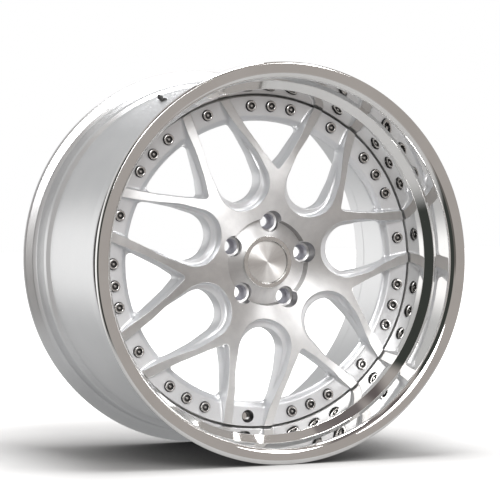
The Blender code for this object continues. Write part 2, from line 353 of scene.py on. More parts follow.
def front_height(points):
    radius = np.hypot(points[:, 0], points[:, 1])
    depth = window_depths(points, "face")
    opening = window_depths(points, "open")
    top = top_height(radius)
    floor = floor_height(radius)
    wall, fillet = wall_shape(radius)
    height = np.where(depth > 0.0, top - depth, top)
    steep = top - EDGE_BREAK - (depth - EDGE_BREAK) / WALL_DRAFT
    height = np.where(depth > EDGE_BREAK, steep, height)
    foot = np.clip(wall + fillet - depth, 0.0, fillet)
    height = np.where(depth > wall, floor + fillet - np.sqrt(fillet ** 2 - foot ** 2), height)
    height = height - edge_rounding(np.maximum(-opening, 0.0), OPEN_ROUND)
    height = height - np.clip(radius - (DISC_RADIUS - OUTER_CHAMFER), 0.0, OUTER_CHAMFER)
    height = height - np.clip(BORE_RADIUS + BORE_CHAMFER - radius, 0.0, BORE_CHAMFER)
    lug = nearest_gap(points, LUG_PLACES)
    wall_height = LUG_POCKET_FLOOR + np.maximum(lug - LUG_FLOOR_EDGE, 0.0) / LUG_WALL_DRAFT
    height = np.minimum(height, wall_height)
    chamfer = np.clip((LUG_FLOOR_EDGE - lug) / (LUG_FLOOR_EDGE - LUG_BORE), 0.0, 1.0)
    height = height + (LUG_BORE_TOP - LUG_POCKET_FLOOR) * chamfer
    bolt = nearest_gap(points, BOLT_PLACES)
    valve = nearest_gap(points, [VALVE_PLACE])
    height = height - np.clip(BOLT_BORE + BOLT_CHAMFER - bolt, 0.0, BOLT_CHAMFER)
    return height - np.clip(VALVE_BORE + VALVE_CHAMFER - valve, 0.0, VALVE_CHAMFER)


def ring_of(centre, radius, sides):
    return [centre + Vector((radius * math.cos(math.tau * i / sides), radius * math.sin(math.tau * i / sides)))
            for i in range(sides)]


def inside_ring(points, centre, radius, sides):
    """True for each point inside the polygon that ring_of makes."""
    x = points[:, 0] - centre[0]
    y = points[:, 1] - centre[1]
    pitch = math.tau / sides
    off = np.mod(np.arctan2(y, x), pitch) - pitch / 2
    return np.hypot(x, y) < radius * math.cos(pitch / 2) / np.cos(off)


def pocket_mouth(centre):
    """Where a lug pocket's drafted wall meets the hub's surface."""
    mouth = []
    for direction in ring_of(Vector((0.0, 0.0)), 1.0, LUG_SIDES * 2):
        reach = LUG_FLOOR_EDGE
        for _ in range(12):
            surface = float(top_height(np.array([(centre + direction * reach).length]))[0])
            reach = LUG_FLOOR_EDGE + LUG_WALL_DRAFT * (surface - LUG_POCKET_FLOOR)
        mouth.append(centre + direction * reach)
    return mouth


def window_loops(kind, outline):
    """The loops that follow a window: down its wall and fillet, or back from the edge of its hole."""
    inward = inward_normals(outline)
    if kind == "open":
        return [outline + inward * shift for shift in OPEN_ROUND_STEPS]
    wall, fillet = wall_shape(np.hypot(outline[:, 0], outline[:, 1]))
    loops = [outline, outline + inward * EDGE_BREAK]
    loops.extend(outline + inward * (wall + fillet * share)[:, None] for share in FILLET_SHARES)
    return loops


def loose_points():
    """Points spread evenly over the disc on staggered rings, clear of every edge and crease."""
    rings = []
    for radius in np.arange(SPREAD_START, SPREAD_END, SPREAD_STEP):
        count = int(math.tau * radius / SPREAD_STEP)
        shift = (radius * STAGGER) % 1.0
        rings.extend((radius * math.cos(math.tau * (i + shift) / count),
                      radius * math.sin(math.tau * (i + shift) / count)) for i in range(count))
    points = np.array(rings)
    radius = np.hypot(points[:, 0], points[:, 1])
    face = window_depths(points, "face")
    wall, fillet = wall_shape(radius)
    keep = (face < -1.2) | (face > wall + fillet + 0.8)
    keep &= window_depths(points, "open") < -OPEN_ROUND - 0.8
    for crease in (PAD_EDGE, STEP_EDGE, RING_EDGE, RING_EDGE - RING_CREASE):
        keep &= np.abs(radius - crease) > 0.9
    keep &= nearest_gap(points, LUG_PLACES) > LUG_REACH + 1.0
    keep &= nearest_gap(points, BOLT_PLACES) > BOLT_BORE + 1.3
    keep &= nearest_gap(points, [VALVE_PLACE]) > VALVE_BORE + 1.5
    return points[keep]


def clear_of_lugs(point):
    return min((point - lug).length for lug in LUG_PLACES) > LUG_FLOOR_EDGE + 0.2


def near_disc(point):
    return point.length < DISC_RADIUS + 3.0


def disc_plan():
    """Every point and fixed line of the disc's triangulation, in plan."""
    points = []
    lines = []

    def add_loop(loop, keep=None):
        first = len(points)
        points.extend(loop)
        for i in range(len(loop)):
            j = (i + 1) % len(loop)
            if keep is None or (keep(loop[i]) and keep(loop[j])):
                lines.append((first + i, first + j))

    origin = Vector((0.0, 0.0))
    add_loop(ring_of(origin, DISC_RADIUS, EDGE_SIDES))
    add_loop(ring_of(origin, DISC_RADIUS - OUTER_CHAMFER, EDGE_SIDES))
    add_loop(ring_of(origin, BORE_RADIUS, BORE_SIDES))
    add_loop(ring_of(origin, BORE_RADIUS + BORE_CHAMFER, BORE_SIDES))
    add_loop(ring_of(origin, PAD_EDGE, PAD_SIDES), clear_of_lugs)
    add_loop(ring_of(origin, STEP_EDGE, PAD_SIDES), clear_of_lugs)
    add_loop(ring_of(origin, RING_EDGE, RING_SIDES))
    add_loop(ring_of(origin, RING_EDGE - RING_CREASE, RING_SIDES))
    for lug in LUG_PLACES:
        add_loop(pocket_mouth(lug))
        for radius in (LUG_FLOOR_EDGE, LUG_BORE, LUG_HOLE):
            add_loop(ring_of(lug, radius, LUG_SIDES))
    for bolt in BOLT_PLACES:
        for radius in (BOLT_BORE + BOLT_CHAMFER, BOLT_BORE, BOLT_HOLE):
            add_loop(ring_of(bolt, radius, BOLT_SIDES))
    for radius in (VALVE_BORE + VALVE_CHAMFER, VALVE_BORE, VALVE_HOLE):
        add_loop(ring_of(VALVE_PLACE, radius, VALVE_SIDES))
    for kind, shapes in OUTLINES.items():
        for shape, outline in shapes.items():
            loops = window_loops(kind, outline)
            for pair in range(WINDOW_PAIRS):
                turn = math.radians(VALVE_ANGLE + WINDOW_PITCH * (pair + WINDOW_SEEDS[shape]))
                matrix = np.array([[math.cos(turn), math.sin(turn)], [-math.sin(turn), math.cos(turn)]])
                for loop in loops:
                    add_loop([Vector(p) for p in loop @ matrix], near_disc)
    points.extend(Vector(p) for p in loose_points())
    return points, lines


def hole_strip(cage, rows, sides, centre, slot):
    """A turned hole wall through rings of (radius, height), from the front edge to the back edge."""
    rings = []
    for radius, height in rows:
        rings.append([cage.verts.new((p.x, p.y, height)) for p in ring_of(centre, radius, sides)])
    for upper, lower in zip(rings, rings[1:]):
        for i in range(sides):
            j = (i + 1) % sides
            face = cage.faces.new((upper[i], upper[j], lower[j], lower[i]))
            face.material_index = slot


def add_hole_walls(cage):
    for lug in LUG_PLACES:
        hole_strip(cage, [
            (LUG_BORE, LUG_BORE_TOP), (LUG_BORE, 72.0), (LUG_BORE, LUG_BORE_END), (LUG_HOLE, LUG_SEAT_END),
            (LUG_HOLE, PAD_BACK),
        ], LUG_SIDES, lug, BORE_SLOT)
    for bolt in BOLT_PLACES:
        hole_strip(cage, [
            (BOLT_BORE, RING_FLOOR - BOLT_CHAMFER), (BOLT_BORE, BOLT_SEAT), (BOLT_HOLE, BOLT_SEAT),
            (BOLT_HOLE, RING_BACK),
        ], BOLT_SIDES, bolt, RECESS_SHADE_SLOT)
    hole_strip(cage, [
        (VALVE_BORE, RING_FLOOR - VALVE_CHAMFER), (VALVE_BORE, VALVE_SEAT + 0.5),
        (VALVE_BORE - 0.6, VALVE_SEAT), (VALVE_HOLE + 0.4, VALVE_SEAT), (VALVE_HOLE, VALVE_SEAT - 0.4),
        (VALVE_HOLE, RING_BACK),
    ], VALVE_SIDES, VALVE_PLACE, RECESS_SHADE_SLOT)


def front_slots(middle):
    """The material slot of each front triangle, from its middle."""
    radius = np.hypot(middle[:, 0], middle[:, 1])
    lug_gap = nearest_gap(middle, LUG_PLACES)
    # The painted-shade slot takes the lug pockets' walls and floors and the step wall at the pad's edge.
    pocket = (lug_gap > LUG_FLOOR_EDGE) & (front_height(middle) < top_height(radius) - 0.5)
    pocket &= lug_gap < LUG_REACH
    pocket |= (radius > PAD_EDGE) & (radius < STEP_EDGE) & (lug_gap > LUG_REACH)
    machined = window_depths(middle, "face") < EDGE_BREAK
    return np.where(pocket, POCKET_SHADE_SLOT, np.where(machined, MACHINED_SLOT, PAINT_SLOT))


def build_disc():
    points, lines = disc_plan()
    verts, _, faces, _, _, _ = delaunay_2d_cdt(points, lines, [], 0, 0.002)
    plan = np.array([tuple(p) for p in verts])
    tris = np.array(faces)
    middle = plan[tris].mean(axis=1)
    solid = window_depths(middle, "open") < 0.0
    solid &= inside_ring(middle, (0.0, 0.0), DISC_RADIUS, EDGE_SIDES)
    solid &= ~inside_ring(middle, (0.0, 0.0), BORE_RADIUS, BORE_SIDES)
    front = solid.copy()
    back = solid.copy()
    for lug in LUG_PLACES:
        front &= ~inside_ring(middle, lug, LUG_BORE, LUG_SIDES)
        back &= ~inside_ring(middle, lug, LUG_HOLE, LUG_SIDES)
    for bolt in BOLT_PLACES:
        front &= ~inside_ring(middle, bolt, BOLT_BORE, BOLT_SIDES)
        back &= ~inside_ring(middle, bolt, BOLT_HOLE, BOLT_SIDES)
    front &= ~inside_ring(middle, VALVE_PLACE, VALVE_BORE, VALVE_SIDES)
    back &= ~inside_ring(middle, VALVE_PLACE, VALVE_HOLE, VALVE_SIDES)
    high = front_height(plan)
    low = back_height(np.hypot(plan[:, 0], plan[:, 1]))
    low = low + edge_rounding(np.maximum(-window_depths(plan, "open"), 0.0), BACK_ROUND)
    slots = front_slots(middle)
    cage = bmesh.new()
    upper = {}
    lower = {}

    def vert(store, heights, index):
        if index not in store:
            store[index] = cage.verts.new((plan[index, 0], plan[index, 1], heights[index]))
        return store[index]

    for number in np.flatnonzero(front):
        face = cage.faces.new([vert(upper, high, index) for index in tris[number].tolist()])
        face.material_index = int(slots[number])
    for number in np.flatnonzero(back):
        face = cage.faces.new([vert(lower, low, index) for index in reversed(tris[number].tolist())])
        face.material_index = PAINT_SLOT
    edges = dict.fromkeys(
        (corners[i], corners[(i + 1) % 3]) for corners in tris[solid].tolist() for i in range(3))
    levels = [high + (low - high) * share for share in (0.0, 0.5, 1.0)]
    for a, b in edges:
        if (b, a) in edges:
            continue
        strip = [[cage.verts.new((plan[i, 0], plan[i, 1], level[i])) for i in (a, b)] for level in levels]
        for one, two in zip(strip, strip[1:]):
            face = cage.faces.new((one[1], one[0], two[0], two[1]))
            face.material_index = PAINT_SLOT
    add_hole_walls(cage)
    bmesh.ops.remove_doubles(cage, verts=cage.verts, dist=0.003)
    bmesh.ops.dissolve_degenerate(cage, edges=cage.edges, dist=0.0005)
    bmesh.ops.recalc_face_normals(cage, faces=cage.faces)
    return finished_mesh("disc", cage, 27.0)


# ---------------------------------------------------------------- mesh helpers

def finished_mesh(name, cage, sharp_angle):
    """A smooth-shaded mesh in metres, with its edges sharp past an angle in degrees."""
    bmesh.ops.scale(cage, vec=(MM, MM, MM), verts=cage.verts)
    mesh = bpy.data.meshes.new(name)
    cage.to_mesh(mesh)
    cage.free()
    mesh.shade_smooth()
    mesh.set_sharp_from_angle(angle=math.radians(sharp_angle))
    return mesh


def add_piece(name, mesh, materials, body, nodes=(), matrix=WHEEL):
    piece = bpy.data.objects.new(name, mesh)
    bpy.context.scene.collection.objects.link(piece)
    piece.matrix_world = matrix
    if not mesh.materials:
        for material in materials:
            mesh.materials.append(material)
    bpy.context.view_layer.update()
    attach(piece, body)
    if nodes:
        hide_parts(*nodes)
    return piece


def ring_verts(cage, radius, height, steps):
    turns = [math.tau * i / steps for i in range(steps)]
    return [cage.verts.new((radius * math.cos(turn), radius * math.sin(turn), height)) for turn in turns]


def turned_cage(outline, steps, closed=True):
    """Sweep an outline of (radius, height) points once round the Z axis."""
    cage = bmesh.new()
    rings = []
    for radius, height in outline:
        if radius < 1e-6:
            rings.append([cage.verts.new((0.0, 0.0, height))])
        else:
            rings.append(ring_verts(cage, radius, height, steps))
    following = rings[1:] + rings[:1] if closed else rings[1:]
    for one, two in zip(rings, following):
        for i in range(steps):
            j = (i + 1) % steps
            corners = [one[i % len(one)], one[j % len(one)], two[j % len(two)], two[i % len(two)]]
            cage.faces.new(list(dict.fromkeys(corners)))
    bmesh.ops.recalc_face_normals(cage, faces=cage.faces)
    return cage


def soft_outline(corners, step=1.0):
    return [(p.x, p.y) for p in rounded(corners, step)]


def hexagon_radius(angle, across):
    return across / 2 / math.cos((angle % (math.pi / 3)) - math.pi / 6)


def ring_stack(rings, steps=48, dark=()):
    """Join rings of (radius, height) into one closed skin.

    A radius or height may be a function of the angle. The bands listed in dark take the second material.
    """
    cage = bmesh.new()
    stack = []
    for radius_at, height_at in rings:
        ring = []
        for i in range(steps):
            angle = math.tau * i / steps
            radius = radius_at(angle) if callable(radius_at) else radius_at
            height = height_at(angle) if callable(height_at) else height_at
            ring.append(cage.verts.new((radius * math.cos(angle), radius * math.sin(angle), height)))
        stack.append(ring)
    for number, (one, two) in enumerate(zip(stack, stack[1:])):
        for i in range(steps):
            j = (i + 1) % steps
            face = cage.faces.new((one[i], one[j], two[j], two[i]))
            face.material_index = int(number in dark)
    cage.faces.new(stack[0])
    cage.faces.new(reversed(stack[-1]))
    bmesh.ops.recalc_face_normals(cage, faces=cage.faces)
    return cage


# ---------------------------------------------------------------- shader helpers

def new_material(name):
    made = bpy.data.materials.new(name)
    made.use_nodes = True
    return made, made.node_tree, made.node_tree.nodes["Principled BSDF"]


def add_node(tree, kind, **settings):
    node = tree.nodes.new(kind)
    for key, value in settings.items():
        setattr(node, key, value)
    return node


def math_node(tree, operation, first, second=None):
    node = add_node(tree, "ShaderNodeMath", operation=operation)
    for socket, value in zip(node.inputs, (first, second)):
        if value is None:
            continue
        if isinstance(value, (int, float)):
            socket.default_value = value
        else:
            tree.links.new(value, socket)
    return node.outputs[0]


def object_vector(tree):
    return add_node(tree, "ShaderNodeTexCoord").outputs["Object"]


def polar_vector(tree, ring_scale, angle_scale, height_scale):
    """A texture vector of distance out, angle and height, so that grain follows the turning."""
    split = add_node(tree, "ShaderNodeSeparateXYZ")
    tree.links.new(object_vector(tree), split.inputs[0])
    x, y, z = split.outputs
    radius = math_node(tree, "SQRT", math_node(
        tree, "ADD", math_node(tree, "MULTIPLY", x, x), math_node(tree, "MULTIPLY", y, y)))
    angle = math_node(tree, "ARCTAN2", y, x)
    join = add_node(tree, "ShaderNodeCombineXYZ")
    tree.links.new(math_node(tree, "MULTIPLY", radius, ring_scale), join.inputs[0])
    tree.links.new(math_node(tree, "MULTIPLY", angle, angle_scale), join.inputs[1])
    tree.links.new(math_node(tree, "MULTIPLY", z, height_scale), join.inputs[2])
    return join.outputs[0]


def noise(tree, vector, scale, detail, roughness):
    node = add_node(tree, "ShaderNodeTexNoise")
    node.inputs["Scale"].default_value = scale
    node.inputs["Detail"].default_value = detail
    node.inputs["Roughness"].default_value = roughness
    tree.links.new(vector, node.inputs["Vector"])
    return node.outputs["Fac"]


def spread(tree, value, low, high):
    """Map the middle half of a noise's range onto low to high."""
    node = add_node(tree, "ShaderNodeMapRange")
    node.inputs["From Min"].default_value = 0.25
    node.inputs["From Max"].default_value = 0.75
    node.inputs["To Min"].default_value = low
    node.inputs["To Max"].default_value = high
    tree.links.new(value, node.inputs["Value"])
    return node.outputs["Result"]


def smooth_step(tree, value, start, end):
    """0 at start, 1 at end and eased between; start may be the larger."""
    node = add_node(tree, "ShaderNodeMapRange", interpolation_type="SMOOTHSTEP")
    node.inputs["From Min"].default_value = start
    node.inputs["From Max"].default_value = end
    tree.links.new(value, node.inputs["Value"])
    return node.outputs["Result"]


def tint(tree, value, dark, light):
    node = add_node(tree, "ShaderNodeValToRGB")
    node.color_ramp.elements[0].position = 0.3
    node.color_ramp.elements[0].color = (*dark, 1.0)
    node.color_ramp.elements[1].position = 0.7
    node.color_ramp.elements[1].color = (*light, 1.0)
    tree.links.new(value, node.inputs["Fac"])
    return node.outputs["Color"]


def bump(tree, height, strength, distance, shader):
    node = add_node(tree, "ShaderNodeBump")
    node.inputs["Strength"].default_value = strength
    node.inputs["Distance"].default_value = distance
    tree.links.new(height, node.inputs["Height"])
    tree.links.new(node.outputs["Normal"], shader.inputs["Normal"])


def glowing(tree, strength):
    """An emission shader; its strength is a number or a socket."""
    node = add_node(tree, "ShaderNodeEmission")
    if isinstance(strength, float):
        node.inputs["Strength"].default_value = strength
    else:
        tree.links.new(strength, node.inputs["Strength"])
    return node.outputs[0]


def joined(tree, kind, *parts):
    """An Add Shader or Mix Shader node over its inputs in order."""
    node = add_node(tree, kind)
    for socket, part in zip(node.inputs, parts):
        tree.links.new(part, socket)
    return node.outputs[0]


# ---------------------------------------------------------------- materials

def turned_metal(name, dark, light, rough, anisotropy, ring_scale, grain):
    """Bright metal with the fine circular grain that turning on a lathe leaves."""
    material, tree, shader = new_material(name)
    shader.inputs["Metallic"].default_value = 1.0
    shader.inputs["Anisotropic"].default_value = anisotropy
    shader.inputs["Anisotropic Rotation"].default_value = 0.25
    fine = noise(tree, polar_vector(tree, ring_scale, 3.0, ring_scale), 1.0, 4.0, 0.7)
    broad = noise(tree, polar_vector(tree, 60.0, 6.0, 60.0), 1.0, 3.0, 0.6)
    tree.links.new(tint(tree, broad, dark, light), shader.inputs["Base Color"])
    tree.links.new(spread(tree, fine, rough[0], rough[1]), shader.inputs["Roughness"])
    bump(tree, fine, grain, 0.0002, shader)
    tangent = add_node(tree, "ShaderNodeTangent", direction_type="RADIAL", axis="Z")
    tree.links.new(tangent.outputs[0], shader.inputs["Tangent"])
    return material


def polished_metal(name, dark, light, rough, ripple):
    """Mirror-polished metal with faint polishing lines and wipe marks."""
    material, tree, shader = new_material(name)
    shader.inputs["Metallic"].default_value = 1.0
    lines = noise(tree, polar_vector(tree, 2500.0, 4.0, 2500.0), 1.0, 3.0, 0.6)
    marks = noise(tree, object_vector(tree), 14.0, 4.0, 0.6)
    tree.links.new(tint(tree, marks, dark, light), shader.inputs["Base Color"])
    tree.links.new(spread(tree, marks, rough[0], rough[1]), shader.inputs["Roughness"])
    bump(tree, lines, ripple, 0.00005, shader)
    return material


def silver_paint(name, dark, light, metallic, rough, coat):
    """Metallic silver paint: fine flake under a clear coat with slight orange peel."""
    material, tree, shader = new_material(name)
    shader.inputs["Metallic"].default_value = metallic
    shader.inputs["Coat Weight"].default_value = coat
    shader.inputs["Coat Roughness"].default_value = 0.12
    flake = noise(tree, object_vector(tree), 2600.0, 2.0, 0.8)
    cloud = noise(tree, object_vector(tree), 22.0, 3.0, 0.5)
    peel = noise(tree, object_vector(tree), 700.0, 1.0, 0.5)
    flake_share = math_node(tree, "MULTIPLY", flake, 0.6)
    cloud_share = math_node(tree, "MULTIPLY", cloud, 0.4)
    mixed = math_node(tree, "ADD", flake_share, cloud_share)
    tree.links.new(tint(tree, mixed, dark, light), shader.inputs["Base Color"])
    tree.links.new(spread(tree, cloud, rough[0], rough[1]), shader.inputs["Roughness"])
    bump(tree, peel, 0.06, 0.0002, shader)
    return material


def soft_rubber(name):
    """Matt black rubber with a fine rough skin."""
    material, tree, shader = new_material(name)
    shader.inputs["Base Color"].default_value = (0.03, 0.03, 0.03, 1.0)
    cloud = noise(tree, object_vector(tree), 260.0, 4.0, 0.6)
    tree.links.new(spread(tree, cloud, 0.45, 0.75), shader.inputs["Roughness"])
    bump(tree, cloud, 0.3, 0.0003, shader)
    return material


machined = turned_metal(
    "machined_face", (0.84, 0.84, 0.845), (0.93, 0.93, 0.93), (0.48, 0.56), 0.88, 3200.0, 0.10)
satin = silver_paint(
    "satin_silver_paint", (0.72, 0.735, 0.76), (0.84, 0.85, 0.865), 0.50, (0.32, 0.40), 0.5)
bore_paint = silver_paint(
    "bore_silver_paint", (0.52, 0.52, 0.57), (0.62, 0.62, 0.67), 0.5, (0.35, 0.45), 0.2)
# Dark metal for the lug pockets' walls and floors and the step at the pad's edge: painted shade in these
# recesses.
pocket_shade_metal = turned_metal(
    "lug_pocket_painted_shade", (0.38, 0.375, 0.375), (0.47, 0.465, 0.465), (0.28, 0.38), 0.3, 3600.0, 0.06)
# Near-black metal for the bolt and valve hole walls and the bolt's socket and head sides: painted shade in
# these recesses.
recess_shade_metal = polished_metal("bolt_recess_painted_shade", (0.05, 0.05, 0.05), (0.09, 0.09, 0.09), (0.25, 0.4), 0.1)
barrel_paint = silver_paint(
    "barrel_silver_paint", (0.68, 0.69, 0.70), (0.77, 0.775, 0.78), 0.93, (0.30, 0.36), 0.15)
chrome = polished_metal("polished_lip", (0.80, 0.79, 0.775), (0.86, 0.855, 0.845), (0.02, 0.045), 0.03)
bolt_metal = polished_metal("plated_bolt", (0.62, 0.61, 0.60), (0.76, 0.75, 0.74), (0.14, 0.24), 0.15)
nut_metal = polished_metal("plated_nut", (0.55, 0.54, 0.52), (0.68, 0.67, 0.65), (0.22, 0.34), 0.2)
cap_metal = turned_metal(
    "cap_ring_metal", (0.78, 0.775, 0.76), (0.88, 0.875, 0.86), (0.10, 0.20), 0.4, 4000.0, 0.05)
insert_metal = turned_metal(
    "cap_insert_metal", (0.86, 0.85, 0.84), (0.96, 0.955, 0.94), (0.34, 0.48), 0.85, 5200.0, 0.12)
rubber = soft_rubber("seal_rubber")


# ---------------------------------------------------------------- disc, lip, barrel and seal

# Turned outlines as (radius, height, corner radius).
LIP_CORNERS = [
    (FLANGE_INNER_RADIUS, LIP_FLANGE_FRONT, 0.4), (231.2, LIP_FLANGE_FRONT, 0.6), (232.0, 66.0, 0.0),
    (238.4, 100.7, 1.5), (249.8, 109.8, 2.2), (251.7, 151.2, 6.0), (258.6, 157.4, 14.0),
    (266.5, HALF_WIDTH, 25.0), (271.0, HALF_WIDTH, 1.0), (RIM_RADIUS, 157.2, 1.6), (RIM_RADIUS, 152.0, 1.2),
    (270.6, 150.2, 1.5), (261.5, 148.4, 4.0), (257.6, 145.0, 3.0), (255.4, 127.0, 2.0), (256.9, 122.0, 2.0),
    (255.0, 108.0, 3.0), (244.2, 99.5, 3.0), (238.2, 64.0, 3.0), (237.6, 48.4, 1.0),
    (233.9, LIP_FLANGE_BACK, 0.6), (FLANGE_INNER_RADIUS, LIP_FLANGE_BACK, 0.6),
]
BARREL_CORNERS = [
    (FLANGE_INNER_RADIUS, BARREL_FLANGE_FRONT, 0.6), (233.9, BARREL_FLANGE_FRONT, 0.6), (237.7, 40.6, 1.0),
    (238.0, 20.0, 6.0), (249.2, -104.0, 5.0), (254.6, -110.0, 2.0), (256.6, -114.5, 1.8),
    (254.8, -119.0, 2.0), (257.2, -145.0, 4.0), (261.5, -150.0, 3.0), (271.4, -153.4, 2.0),
    (RIM_RADIUS, -155.4, 0.8), (RIM_RADIUS, -158.0, 0.6), (271.6, -HALF_WIDTH, 0.6),
    (264.0, -HALF_WIDTH, 3.0), (256.4, -156.6, 3.0), (252.2, -150.0, 4.0), (249.6, -119.0, 5.0),
    (245.0, -106.0, 8.0), (232.6, 22.0, 6.0), (231.4, 34.0, 3.0), (227.4, BARREL_FLANGE_BACK, 2.0),
    (FLANGE_INNER_RADIUS, BARREL_FLANGE_BACK, 0.6),
]
SEAL_RADIUS = 236.3
SEAL_HEIGHT = (LIP_FLANGE_BACK + BARREL_FLANGE_FRONT) / 2
SEAL_THICKNESS = 1.45
SEAL_SIDES = 12

disc_mesh = build_disc()
add_piece("forged_centre_disc", disc_mesh, [machined, satin, bore_paint, pocket_shade_metal, recess_shade_metal], "rim",
          ["centre_disc"])
lip_mesh = finished_mesh("lip", turned_cage(soft_outline(LIP_CORNERS), 288), 25.0)
add_piece("polished_outer_lip", lip_mesh, [chrome], "rim", ["outer_lip"])
barrel_mesh = finished_mesh("barrel", turned_cage(soft_outline(BARREL_CORNERS), 256), 25.0)
add_piece("painted_inner_barrel", barrel_mesh, [barrel_paint], "rim", ["inner_barrel"])
seal_outline = [tuple(p) for p in ring_of(Vector((SEAL_RADIUS, SEAL_HEIGHT)), SEAL_THICKNESS, SEAL_SIDES)]
seal_mesh = finished_mesh("seal", turned_cage(seal_outline, 192), 40.0)
add_piece("rim_seal_bead", seal_mesh, [rubber], "rim", ["rim_seal_ring"])


# ---------------------------------------------------------------- bolts and nuts

BOLT_SOCKET_ACROSS = 8.6
NUT_ACROSS = 11.0
NUT_BACK = 31.6
NUT_FACE = 38.1
NUT_CHAMFER_RADIUS = 5.3
NUT_CHAMFER_SLOPE = 0.58
BOLT_TWIST = 2.39996
# The bands of the bolt in the near-black material, painted shade: the socket's floor and wall, and the head's
# side and foot.
SHADED_BOLT_BANDS = (3, 4, 10, 11, 12, 13)


def twelve_point_radius(angle):
    """A socket of two hexagons turned half a step from each other."""
    turned = angle + math.pi / 6
    return max(hexagon_radius(angle, BOLT_SOCKET_ACROSS), hexagon_radius(turned, BOLT_SOCKET_ACROSS))


def socket_mouth_radius(angle):
    return twelve_point_radius(angle) + 0.3


def bolt_cage():
    """From the button in the socket, over the head and down to the threaded tip."""
    rings = [
        (0.5, 66.6), (1.5, 66.6), (1.75, 66.35), (1.75, 64.3), (twelve_point_radius, 64.3),
        (twelve_point_radius, 67.2), (socket_mouth_radius, 67.55), (5.5, 67.7), (6.2, 67.7), (6.75, 67.52),
        (7.05, 67.1), (7.1, 66.4), (7.1, 64.0), (7.45, 63.6), (7.45, 62.5), (7.2, 62.3), (3.5, 62.3),
        (3.5, 31.9),
    ]
    for thread in range(2):
        rings.extend([(3.1, 31.6 - thread), (3.5, 31.1 - thread)])
    rings.extend([(3.1, 29.6), (2.7, 29.5)])
    return ring_stack(rings, dark=SHADED_BOLT_BANDS)


def nut_side(angle):
    return hexagon_radius(angle, NUT_ACROSS)


def nut_chamfer(angle):
    return (nut_side(angle) - NUT_CHAMFER_RADIUS) * NUT_CHAMFER_SLOPE


def nut_lower(angle):
    return NUT_BACK + nut_chamfer(angle)


def nut_upper(angle):
    return NUT_FACE - nut_chamfer(angle)


def nut_cage():
    return ring_stack([
        (3.6, 36.0), (3.6, 32.1), (4.1, NUT_BACK), (NUT_CHAMFER_RADIUS, NUT_BACK), (nut_side, nut_lower),
        (nut_side, nut_upper), (NUT_CHAMFER_RADIUS, NUT_FACE), (4.1, NUT_FACE), (3.6, 37.6), (3.6, 36.2),
    ])


bolt_mesh = finished_mesh("bolt", bolt_cage(), 30.0)
nut_mesh = finished_mesh("nut", nut_cage(), 30.0)
for number, place in enumerate(BOLT_PLACES, start=1):
    twist = Matrix.Rotation(number * BOLT_TWIST, 4, "Z")
    spot = WHEEL @ Matrix.Translation((place.x * MM, place.y * MM, 0.0)) @ twist
    add_piece(f"ring_bolt_{number:02d}", bolt_mesh, [bolt_metal, recess_shade_metal], "rim",
              [f"assembly_bolt_{number:02d}"], spot)
    add_piece(f"ring_nut_{number:02d}", nut_mesh, [nut_metal], "rim",
              [f"assembly_nut_{number:02d}"], spot)


# ---------------------------------------------------------------- centre cap

CAP_RING_CORNERS = [
    (29.8, 93.3, 0.5), (35.9, 93.3, 0.7), (35.9, 90.9, 0.2), (32.9, 90.9, 0.0), (32.9, 78.0, 0.4),
    (30.0, 78.0, 0.4), (30.0, 85.5, 0.0), (26.0, 85.5, 0.2), (26.0, 87.7, 0.2), (29.8, 87.7, 0.0),
]
INSERT_OUTLINE = [
    (0.0, 91.8), (10.0, 91.8), (20.0, 91.8), (28.3, 91.8), (28.7, 91.7), (29.0, 91.4), (29.3, 91.0),
    (29.4, 90.6), (29.4, 88.0), (0.0, 88.0),
]
PIN_CIRCLE = 32.6
PIN_COUNT = 8
PIN_SOCKET_ACROSS = 0.9


def pin_socket_radius(angle):
    return hexagon_radius(angle, PIN_SOCKET_ACROSS)


def pin_cage():
    return ring_stack([
        (pin_socket_radius, 92.9), (pin_socket_radius, 93.25), (0.75, 93.32), (1.0, 93.25), (1.1, 93.05),
        (1.35, 93.0), (1.35, 91.5),
    ], 24)


cap_mesh = finished_mesh("cap_ring", turned_cage(soft_outline(CAP_RING_CORNERS, 0.2), 128), 30.0)
add_piece("cap_clamp_ring", cap_mesh, [cap_metal], "centre_cap", ["centre_cap_ring"])
insert_mesh = finished_mesh("cap_insert", turned_cage(INSERT_OUTLINE, 128, False), 30.0)
add_piece("cap_plain_insert", insert_mesh, [insert_metal], "centre_cap",
          ["centre_cap_insert"])
pin_mesh = finished_mesh("pin", pin_cage(), 30.0)
for number in range(PIN_COUNT):
    place = place_of(360.0 / PIN_COUNT * number, PIN_CIRCLE)
    spot = WHEEL @ Matrix.Translation((place.x * MM, place.y * MM, 0.0))
    add_piece(f"cap_pin_{number + 1}", pin_mesh, [bolt_metal], "centre_cap", (), spot)


# ---------------------------------------------------------------- barrel plug

# A small black rubber plug that stands up from the barrel and leans to the back.
PLUG_ANGLE = 112.5
PLUG_FOOT = (244.6, -61.0)
PLUG_LEAN = 62.0
PLUG_OUTLINE = [
    (0.0, -1.0), (4.6, -1.0), (4.6, 0.6), (4.1, 1.2), (2.7, 1.8), (2.6, 8.5), (3.4, 9.4), (3.5, 13.5),
    (3.0, 15.6), (1.9, 17.2), (0.0, 17.6),
]
plug_mesh = finished_mesh("plug", turned_cage(PLUG_OUTLINE, 32, False), 35.0)
plug_spot = (WHEEL @ Matrix.Rotation(math.radians(PLUG_ANGLE), 4, "Z")
             @ Matrix.Translation((PLUG_FOOT[0] * MM, 0.0, PLUG_FOOT[1] * MM))
             @ Matrix.Rotation(math.radians(90.0 + PLUG_LEAN), 4, "Y"))
add_piece("barrel_plug", plug_mesh, [rubber], "rim", (), plug_spot)


# ---------------------------------------------------------------- floor

FLOOR_HALF = 9.0
FLOOR_DROP = 0.0002


